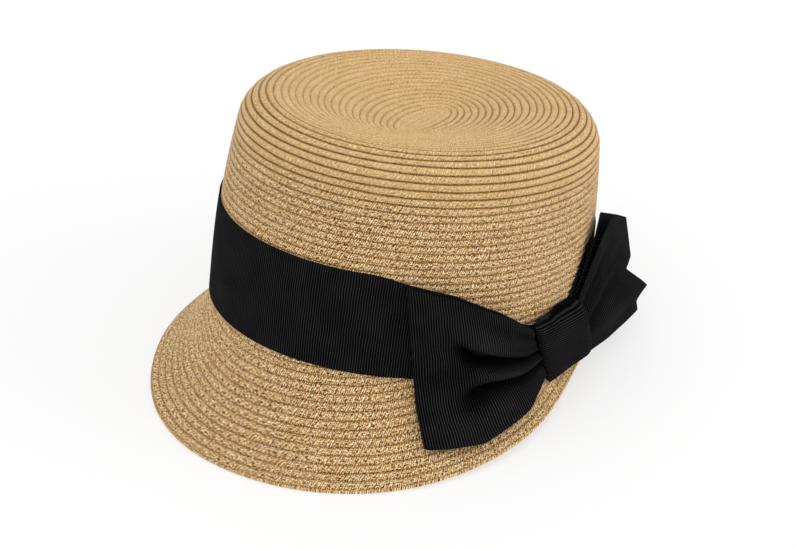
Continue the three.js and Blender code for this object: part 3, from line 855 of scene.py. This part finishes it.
def band_surface(angle, share):
    """Middle of the ribbon: height from the foot to the upper edge, standing a little off the
    straw, with a slow ripple of two sines where the upper edge is loose, and the tuck's step."""
    turn = np.mod(angle, 2 * np.pi)
    height = BAND_FOOT + (band_top(turn) - BAND_FOOT) * share
    ripple = 0.12 * np.sin(5 * angle + 1) * share + 0.1 * np.sin(9 * angle) * share**2
    tuck = TUCK_STEP * np.clip((share - TUCK_SHARE) / TUCK_EDGE, 0, 1) * along_tuck(turn)
    return wall_point(angle, height, CLEARANCE + BAND_STANDOFF + ripple + tuck)


closed_angles = np.arange(BAND_AROUND) * 2 * np.pi / BAND_AROUND
shares = np.linspace(0, 1, BAND_ACROSS)
angle, share = np.meshgrid(closed_angles, shares)
flat = surface_normal(band_surface, angle, share, 0.004)
centre = band_surface(angle, share)
outer = centre + flat * RIBBON_WALL / 2
inner = centre - flat * RIBBON_WALL / 2
loop = np.concatenate([outer, inner[::-1]])
faces = ring_faces(len(loop), BAND_AROUND, closed=True)
mean_round = 2 * np.pi * (HEAD_LENGTH + HEAD_WIDTH) / 4
u = np.append(closed_angles, 2 * np.pi) / (2 * np.pi) * mean_round
v = np.concatenate([shares, shares[::-1]]) * BAND_WIDTH
uv = ring_uv(np.broadcast_to(u, (len(loop) - 1, len(u))), v)
uv = np.concatenate([uv, np.zeros((BAND_AROUND, 4, 2))])
# Painted shade: a thin dark line along the foot of the tuck.
tuck_shade_line = along_tuck(angle) * np.exp(-(((share - TUCK_SHARE) / TUCK_EDGE) ** 2))
painted_shade_depth = TUCK_PAINTED_SHADE * np.concatenate([tuck_shade_line, tuck_shade_line[::-1]])
points = leaned(loop).reshape(-1, 3)
band = make_piece("ribbon_band", points, faces, uv, ribbon, "hat_band", painted_shade_depth)

# %% [markdown]
# ## Bow
# The bow is a wider ribbon, 76 mm, whose two loops are pinched under the knot. A loop leaves the
# knot, runs out, folds over at its end and comes back under itself. The front loop lies along
# the band and the brim; the back loop stands straight off the crown and flares.

# %% Bow measures
BOW_WIDTH = 76
LOOP_FULLNESS = 8
FRONT_SWEEP = math.radians(39)
PLEAT_DEPTH = 4
FLARE_DEPTH = 5
KNOT_ANGLE = math.radians(83)
KNOT_HEIGHT = 8.5
KNOT_TALL = 34
KNOT_WIDE = 34
KNOT_DEEP = 9
KNOT_SLANT = 20
KNOT_RISE = 5
KNOT_SWELL = 3
# Columns of each loop from the knot to the fold. Edges' heights, steps back and steps out are
# shares of the ribbon's width. A turn is a share of the sweep, and full of the loops' fullness.
FRONT_LOOP = {
    "at": [0, 0.35, 0.7, 1],
    "turn": [0, 0.27, 0.64, 1],
    "top": [0.28, 0.41, 0.54, 0.605],
    "low": [-0.07, -0.185, -0.31, -0.35],
    "full": [0.55, 1, 0.8, 0.6],
}
BACK_TOP = {
    "at": [0, 0.35, 0.7, 1],
    "back": [0, 0.17, 0.37, 0.8],
    "out": [0.081, 0.134, 0.122, 0.082],
    "height": [0.29, 0.67, 0.785, 0.645],
    "full": [0.35, 0.45, 0.8, 0.7],
}
BACK_LOW = {
    "at": [0, 0.35, 0.7, 1],
    "back": [0, 0.255, 0.495, 0.685],
    "out": [0.115, 0.146, 0.174, 0.197],
    "height": [-0.08, -0.06, -0.015, 0.03],
}
print("bow ribbon", BOW_WIDTH, "mm wide, knot", KNOT_WIDE, "by", KNOT_TALL, "mm")


# %% Bow: standing clear of the band and the brim
def table(rows, key, at):
    """Value of a table's column at a place, in straight lines between its rows."""
    return np.interp(at, rows["at"], rows[key])


STANDOFF_STEPS = 16


def brim_standoff(angle, height):
    """How far the brim stands off the crown's wall carried on downwards: read off the brim's
    curve, in the crown's upright frame, at that height. It is none above the crown's base."""
    angle, height = np.broadcast_arrays(angle, height)
    shares = np.linspace(0, 1, STANDOFF_STEPS + 1)
    on_angle = angle[..., None] + 0 * shares
    point = upright(brim_point(on_angle, shares + 0 * on_angle))
    wall = wall_point(on_angle, point[..., 2], 0 * on_angle)
    standoff = ((point - wall) * oval_normal(on_angle, point[..., 2])).sum(-1)
    depth = -point[..., 2]
    upper = np.clip((depth < -height[..., None]).sum(-1), 1, STANDOFF_STEPS)[..., None]
    low, high = (np.take_along_axis(depth, upper + step, -1)[..., 0] for step in (-1, 0))
    near, far = (np.take_along_axis(standoff, upper + step, -1)[..., 0] for step in (-1, 0))
    part = np.clip((-height - low) / np.where(high == low, 1, high - low), 0, 1)
    return np.where(height < 0, near + (far - near) * part, 0)


def clear_standoff(angle, height):
    """Standoff that clears the band and the brim by the clearance."""
    return np.maximum(CLEARANCE + CAD_RIBBON, brim_standoff(angle, height)) + CLEARANCE


print("the bow stands at least", CAD_RIBBON + 2 * CLEARANCE, "mm off the straw")


# %% Bow: the middle of each loop
def swelling(across, middle, spread):
    """Rounded swelling, 1 at its middle: a bell curve."""
    return np.exp(-(((across - middle) / spread) ** 2))


def peak(across, middle, spread):
    """Pointed swelling, 1 at its middle: it falls nearly straight, more gently towards its foot."""
    slope = np.maximum(1 - np.abs(across - middle) / spread, 0)
    return slope * (1 - 0.25 * (1 - slope))


def gathers(at, across):
    """Depth of the two gathers beside the knot, which fade out along the loop."""
    valleys = swelling(across, 0.38, 0.09) * (1 - at) + swelling(across, 0.7, 0.08) * (1 - at) ** 2
    return -PLEAT_DEPTH * valleys


def knot_side(height, side):
    """Distance along the crown from the knot's middle to just clear of one side of it."""
    level = (height - KNOT_HEIGHT - side * KNOT_RISE / 2) / (KNOT_TALL / 2)
    return side * (KNOT_WIDE / 2 + CLEARANCE) - level * KNOT_SLANT / 2


def front_middle(at, across):
    """Middle between the front loop's plies, its outward direction and the plies' distance."""
    start_height = BOW_WIDTH * (FRONT_LOOP["top"][0] * (1 - across) + FRONT_LOOP["low"][0] * across)
    length, width = crown_halves(start_height)
    round_step = np.hypot(length * math.sin(KNOT_ANGLE), width * math.cos(KNOT_ANGLE))
    start = KNOT_ANGLE + knot_side(start_height, -1) / round_step
    angle = start - FRONT_SWEEP * table(FRONT_LOOP, "turn", at)
    top, low = (table(FRONT_LOOP, key, at) for key in ("top", "low"))
    height = BOW_WIDTH * (top * (1 - across) + low * across)
    full = LOOP_FULLNESS * table(FRONT_LOOP, "full", at)
    point = wall_point(angle, height, clear_standoff(angle, height) + CLEARANCE + full / 2)
    return point, oval_normal(angle, height), full, table(FRONT_LOOP, "full", at)


def back_middle(at, across):
    """Middle between the back loop's plies, which stands straight back from the knot."""
    full = LOOP_FULLNESS * table(BACK_TOP, "full", at)
    flare = FLARE_DEPTH * at**2 * (peak(across, 0.74, 0.17) - peak(across, 0.55, 0.14) / 2)
    start_height = BOW_WIDTH * (BACK_TOP["height"][0] * (1 - across) + BACK_LOW["height"][0] * across)
    start = knot_side(start_height, 1) - crown_halves(start_height)[0] * math.cos(KNOT_ANGLE)

    def mixed(key):
        return BOW_WIDTH * (table(BACK_TOP, key, at) * (1 - across) + table(BACK_LOW, key, at) * across)

    height = mixed("height")
    side = (HEAD_WIDTH + (TOP_WIDTH - HEAD_WIDTH) * height / CROWN_HEIGHT) / 2
    point = np.stack([side + mixed("out") - full / 2 + flare, start + mixed("back") + flare, height], -1)
    return point, np.array([1.0, 0, 0]) + 0 * point, full, table(BACK_TOP, "full", at)


print("the front loop sweeps", round(math.degrees(FRONT_SWEEP)), "degrees round the crown")


# %% Bow: a loop's two plies and its faces
def loop_surface(middle, creases):
    """Face of a loop: way 0 to 1 runs out on the outer ply and 1 to 2 comes back on the inner
    one. The place along the loop is a sine of the way, and the plies stay a fullness apart until
    the fold, which is round."""
    def surface(way, across, only_depth=False):
        at = np.sin(np.pi / 2 * way)
        apart = np.sqrt(np.maximum(1 - at**40, 0)) * np.sign(1 - way)
        point, outward, full, scale = middle(at, across)
        depth = np.where(way < 1, scale * gathers(at, across) + creases(at, across), 0)
        if only_depth:
            return depth
        return point + outward * (full / 2 * apart + depth)[..., None]
    return surface


def grid_area(face):
    """Area of a grid of points: half the cross product of each cell's diagonals."""
    down = face[1:, 1:] - face[:-1, :-1]
    up = face[1:, :-1] - face[:-1, 1:]
    return float(np.linalg.norm(np.cross(down, up), axis=-1).sum() / 2)


LOOP_ALONG = 161
LOOP_ACROSS = 81


def make_loop(name, surface, side, node):
    """Loop piece, its length and its area: a grid along the loop and across it, with a second face
    a ribbon's thickness inside, and faces round the four edges."""
    ways = np.linspace(0, 2, LOOP_ALONG)
    shares = np.linspace(0, 1, LOOP_ACROSS)
    way, across = np.meshgrid(ways, shares, indexing="ij")
    face = surface(way, across)
    flat = surface_normal(surface, way, across, 1e-3) * side
    back = face + flat * RIBBON_WALL
    rings = np.concatenate([face, back[:, ::-1]], axis=1)
    count = 2 * LOOP_ACROSS
    ring = np.arange(LOOP_ALONG - 1)[:, None] * count
    step = np.arange(count)[None, :]
    ahead = (step + 1) % count
    corners = [ring + step, ring + count + step, ring + count + ahead, ring + ahead]
    faces = np.stack(corners, -1).reshape(-1, 4)
    ends = np.arange(LOOP_ACROSS - 1)
    first = np.stack([ends, ends + 1, count - 2 - ends, count - 1 - ends], -1)
    faces = np.concatenate([faces, first, first[:, ::-1] + (LOOP_ALONG - 1) * count])
    steps = np.linalg.norm(np.diff(face[:, LOOP_ACROSS // 2], axis=0), axis=-1)
    along = np.concatenate([[0], np.cumsum(steps)])
    u = np.repeat(along[:, None], count, 1).ravel()
    v = np.tile(np.concatenate([shares, shares[::-1]]) * BOW_WIDTH, LOOP_ALONG)
    uv = np.stack([u[faces], v[faces]], -1)
    # Painted shade in the folds and painted highlight on the ridges: the creases' depth goes to the ribbon
    # material.
    depth = -surface(way, across, only_depth=True)
    painted_shade_depth = np.concatenate([depth, depth[:, ::-1]], axis=1)
    piece = make_piece(name, leaned(rings).reshape(-1, 3), faces, uv, ribbon, node, painted_shade_depth)
    return piece, along[-1], min(grid_area(face), BOW_WIDTH * along[-1])


print("a loop is a grid of", LOOP_ALONG, "by", LOOP_ACROSS, "points on each face")

# %% [markdown]
# Each crease is a row of a table. Its columns are places along the loop, and there the line of the
# crease across the ribbon, its depth in millimetres, and how far it spreads above and below the
# line. A negative depth is a ridge.

# %% Creases and the two loops
FRONT_CREASES = [
    {
        "at": [0, 0.18, 0.4, 0.56, 0.68, 0.77],
        "across": [0.5, 0.52, 0.475, 0.43, 0.39, 0.34],
        "deep": [2.6, 4.4, 6.0, 6.2, 4.4, 0],
        "above": [0.03, 0.022, 0.018, 0.02, 0.028, 0.04],
        "below": [0.05, 0.05, 0.065, 0.09, 0.11, 0.1],
    },
    {
        "at": [0, 0.2, 0.4, 0.55, 0.66, 0.8],
        "across": [0.76, 0.74, 0.7, 0.68, 0.72, 0.8],
        "deep": [1.8, 2.8, 3.6, 4.0, 3.2, 0],
        "above": [0.03, 0.022, 0.02, 0.025, 0.05, 0.07],
        "below": [0.05, 0.05, 0.06, 0.1, 0.11, 0.1],
    },
    {
        "at": [0, 0.2, 0.42, 0.58, 0.7],
        "across": [0.63, 0.63, 0.6, 0.58, 0.57],
        "deep": [-1.4, -2.4, -3.0, -2.2, 0],
        "above": [0.045, 0.04, 0.04, 0.045, 0.06],
        "below": [0.05, 0.045, 0.045, 0.055, 0.07],
    },
    {
        "at": [0, 0.3, 0.55, 0.8],
        "across": [0.42, 0.41, 0.36, 0.28],
        "deep": [-1.4, -3.0, -3.4, 0],
        "above": [0.11, 0.14, 0.16, 0.16],
        "below": [0.035, 0.035, 0.04, 0.07],
    },
    {
        "at": [0.6, 0.75, 0.88, 1],
        "across": [0.5, 0.54, 0.6, 0.68],
        "deep": [0, 1.4, 1.2, 0],
        "above": [0.08, 0.07, 0.06, 0.06],
        "below": [0.1, 0.1, 0.09, 0.09],
    },
    {
        "at": [0.35, 0.55, 0.75, 0.9],
        "across": [0.9, 0.86, 0.9, 0.95],
        "deep": [0, -1.5, -1.2, 0],
        "above": [0.07, 0.07, 0.08, 0.08],
        "below": [0.08, 0.08, 0.08, 0.08],
    },
    {
        "at": [0, 0.15, 0.35, 0.6],
        "across": [0.2, 0.2, 0.18, 0.15],
        "deep": [1.2, 1.6, 1.2, 0],
        "above": [0.05, 0.05, 0.06, 0.08],
        "below": [0.06, 0.06, 0.07, 0.09],
    },
]
BACK_CREASES = [
    {
        "at": [0, 0.2, 0.45, 0.75],
        "across": [0.25, 0.24, 0.22, 0.2],
        "deep": [1.8, 1.6, 1.1, 0],
        "above": [0.05, 0.05, 0.06, 0.08],
        "below": [0.07, 0.07, 0.09, 0.1],
    },
    {
        "at": [0, 0.25, 0.5, 0.9],
        "across": [0.62, 0.6, 0.56, 0.55],
        "deep": [1.8, 2.0, 1.6, 0],
        "above": [0.05, 0.05, 0.06, 0.08],
        "below": [0.07, 0.08, 0.09, 0.1],
    },
    {
        "at": [0, 0.3, 0.6, 1],
        "across": [0.8, 0.8, 0.8, 0.76],
        "deep": [-0.6, -1.0, -1.0, 0],
        "above": [0.07, 0.08, 0.09, 0.09],
        "below": [0.07, 0.08, 0.09, 0.09],
    },
]
COLUMNS = ("across", "deep", "above", "below")


def creases(rows):
    """Depth of a loop's creases: the sum of bell curves round each crease's line, whose depth and
    whose spread on each side of the line change along the loop."""
    def depth(at, across):
        total = 0 * at
        for row in rows:
            line, deep, above, below = (table(row, key, at) for key in COLUMNS)
            total = total - deep * swelling(across, line, np.where(across < line, above, below))
        return total
    return depth


front_surface = loop_surface(front_middle, creases(FRONT_CREASES))
back_surface = loop_surface(back_middle, creases(BACK_CREASES))
front, front_long, front_area = make_loop("bow_front", front_surface, -1, "bow_loop_front")
back, back_long, back_area = make_loop("bow_back", back_surface, 1, "bow_loop_back")
print("loops", round(front_long), round(back_long), "mm long, areas", round(front_area), round(back_area))

# %% [markdown]
# ## Knot
# The knot is a short piece of the same ribbon, folded to half its width and wrapped round the
# middle of the bow. It is a rounded block, slanted with the bow, flat at the back against the band.

# %% Knot piece
KNOT_AROUND = 96
KNOT_LEVELS = np.sin(np.linspace(-1, 1, 61) * np.pi / 2)
KNOT_SHRINK = np.interp(np.abs(KNOT_LEVELS), [0, 0.9, 1], [1, 1, 0.94])
KNOT_END = 0.12

turn, level = np.meshgrid(np.arange(KNOT_AROUND) * 2 * np.pi / KNOT_AROUND, KNOT_LEVELS)
shrink = KNOT_SHRINK[:, None]
side = shrink * np.sign(np.cos(turn)) * np.abs(np.cos(turn)) ** 0.5
height = KNOT_HEIGHT + (level * KNOT_TALL + side * KNOT_RISE) / 2
along_knot = np.cross(oval_normal(np.array(KNOT_ANGLE), np.array(0.0)), np.array([0, 0, -1.0]))
thick = 1 + shrink * np.sign(np.sin(turn)) * np.abs(np.sin(turn)) ** 0.6
round_end = KNOT_END + (1 - KNOT_END) * np.sqrt(np.maximum(1 - np.abs(level) ** 5, 0))
depth = (KNOT_DEEP + KNOT_SWELL * side) * thick / 2 * round_end
slide = (KNOT_WIDE * side - level * KNOT_SLANT) / 2
knot_angle = KNOT_ANGLE + 0 * height
standoff = clear_standoff(knot_angle, height) + depth
knot = wall_point(knot_angle, height, standoff) + along_knot * slide[..., None]
faces = ring_faces(len(KNOT_LEVELS), KNOT_AROUND)
u = (level + 1) * KNOT_TALL / 2
v = side * KNOT_WIDE / 2
uv = np.stack([u.ravel()[faces], v.ravel()[faces]], -1)
wrap = make_piece("bow_knot_wrap", leaned(knot).reshape(-1, 3), faces, uv, ribbon, "bow_knot")

# %% [markdown]
# Last, the ends of closed shapes are filled and every normal is checked to point outwards.

# %% Check and finish
for piece in (crown, brim, band, front, back, wrap):
    shape = bmesh.new()
    shape.from_mesh(piece.data)
    open_edges = [edge for edge in shape.edges if edge.is_boundary]
    if open_edges:
        bmesh.ops.holes_fill(shape, edges=open_edges, sides=0)
    volume = shape.calc_volume(signed=True)
    if volume < 0:
        bmesh.ops.reverse_faces(shape, faces=shape.faces)
    loose = sum(not edge.is_manifold for edge in shape.edges)
    shape.to_mesh(piece.data)
    shape.free()
    piece.data.update()
    print(piece.name, "volume", round(volume * 1e6, 2), "cm3, edges not closed:", loose)

bpy.context.scene.view_settings.view_transform = "Standard"
